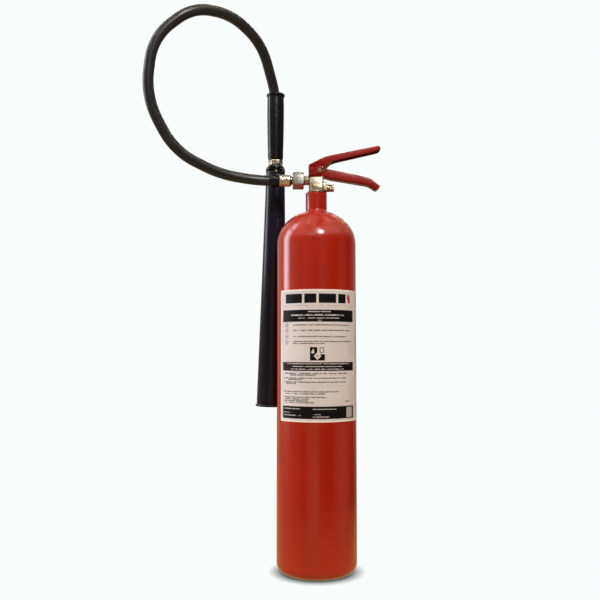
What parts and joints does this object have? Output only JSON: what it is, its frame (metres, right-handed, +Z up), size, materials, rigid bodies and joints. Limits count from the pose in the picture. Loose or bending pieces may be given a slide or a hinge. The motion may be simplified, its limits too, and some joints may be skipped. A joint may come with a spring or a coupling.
{
  "type": "portable fire extinguisher",
  "caption": "Tall slim gas cylinder with a squeeze lever valve, a carrying handle, a standing loop of hose and a long slender discharge horn beside it.",
  "frame": {"origin": "on the cylinder's axis at floor level", "axes": "+Z up along the cylinder, -Y towards the label's front, +X the way the lever and handle point, -X the way the hose leaves the valve"},
  "size_m": [0.3992, 0.1902, 0.9531],
  "materials": {
    "cylinder_paint": "glossy red powder coat",
    "lever_paint": "semi-gloss dark red powder coat",
    "nickel_brass": "nickel-plated brass, satin",
    "zinc_steel": "zinc-plated steel, satin",
    "bright_nickel": "bright nickel plate",
    "stainless": "stainless steel, polished",
    "bare_brass": "machined brass",
    "copper_disc": "rolled copper alloy",
    "dip_aluminium": "drawn aluminium tube",
    "hose_rubber": "matt black rubber",
    "grip_rubber": "satin black rubber",
    "horn_plastic": "satin black plastic",
    "collar_black": "black anodised, knurled",
    "seal_rubber": "nitrile rubber",
    "ptfe": "white fluoropolymer",
    "label_film": "printed plastic film",
    "seal_plastic": "olive moulded plastic"
  },
  "bodies": {
    "extinguisher": {"cylinder_shell": "cylinder_paint", "label": "label_film", "neck_o_ring": "seal_rubber", "valve_body": "nickel_brass", "dip_tube": "dip_aluminium", "spring_plug": "bare_brass", "valve_spring": "stainless", "stem_o_ring": "seal_rubber", "gland_nut": "nickel_brass", "handle_nut": "zinc_steel", "carry_handle": "lever_paint", "pivot_pin": "lever_paint", "burst_disc": "copper_disc", "burst_washer": "copper_disc", "burst_plug": "nickel_brass", "union_nut": "zinc_steel", "outlet_washer": "ptfe"},
    "spindle": {"valve_stem": "stainless", "seat_washer": "ptfe"},
    "lever": {"squeeze_lever": "lever_paint", "tamper_seal": "seal_plastic"},
    "locking_pin": {"safety_pin": "stainless"},
    "ring": {"pull_ring": "stainless"},
    "hose_and_horn": {"hose_tail": "nickel_brass", "hose_ferrule": "bright_nickel", "hose_sleeve": "grip_rubber", "hose": "hose_rubber", "grip": "grip_rubber", "horn_ferrule": "bright_nickel", "horn_tube": "bright_nickel", "horn_nozzle": "bare_brass", "horn_collar": "collar_black", "collar_screws": "stainless", "horn": "horn_plastic"}
  },
  "joints": [
    {"name": "lever_squeeze", "type": "hinge", "parent": "extinguisher", "child": "lever", "pos_m": [-0.008, 0, 0.684], "axis": [0, 1, 0], "range_deg": [0, 12], "stiffness_Nm_per_rad": 0.5, "springref_deg": -20.05},
    {"name": "spindle_stroke", "type": "slide", "parent": "extinguisher", "child": "spindle", "axis": [0, 0, 1], "range_m": [-0.0022, 0], "deforming": ["valve_spring"]},
    {"name": "safety_pin_pull", "type": "slide", "parent": "extinguisher", "child": "locking_pin", "axis": [0, 1, 0], "range_m": [0, 0.04]},
    {"name": "pull_ring_swing", "type": "hinge", "parent": "locking_pin", "child": "ring", "pos_m": [0.004, 0.0182, 0.6876], "axis": [1, 0, 0], "range_deg": [0, 110]},
    {"name": "hose_swivel", "type": "hinge", "parent": "extinguisher", "child": "hose_and_horn", "pos_m": [-0.05, 0, 0.667], "axis": [1, 0, 0], "range_deg": [0, 90]}
  ],
  "couplings": [
    {"joint": "spindle_stroke", "follows": "lever_squeeze", "m_per_rad": -0.01}
  ]
}
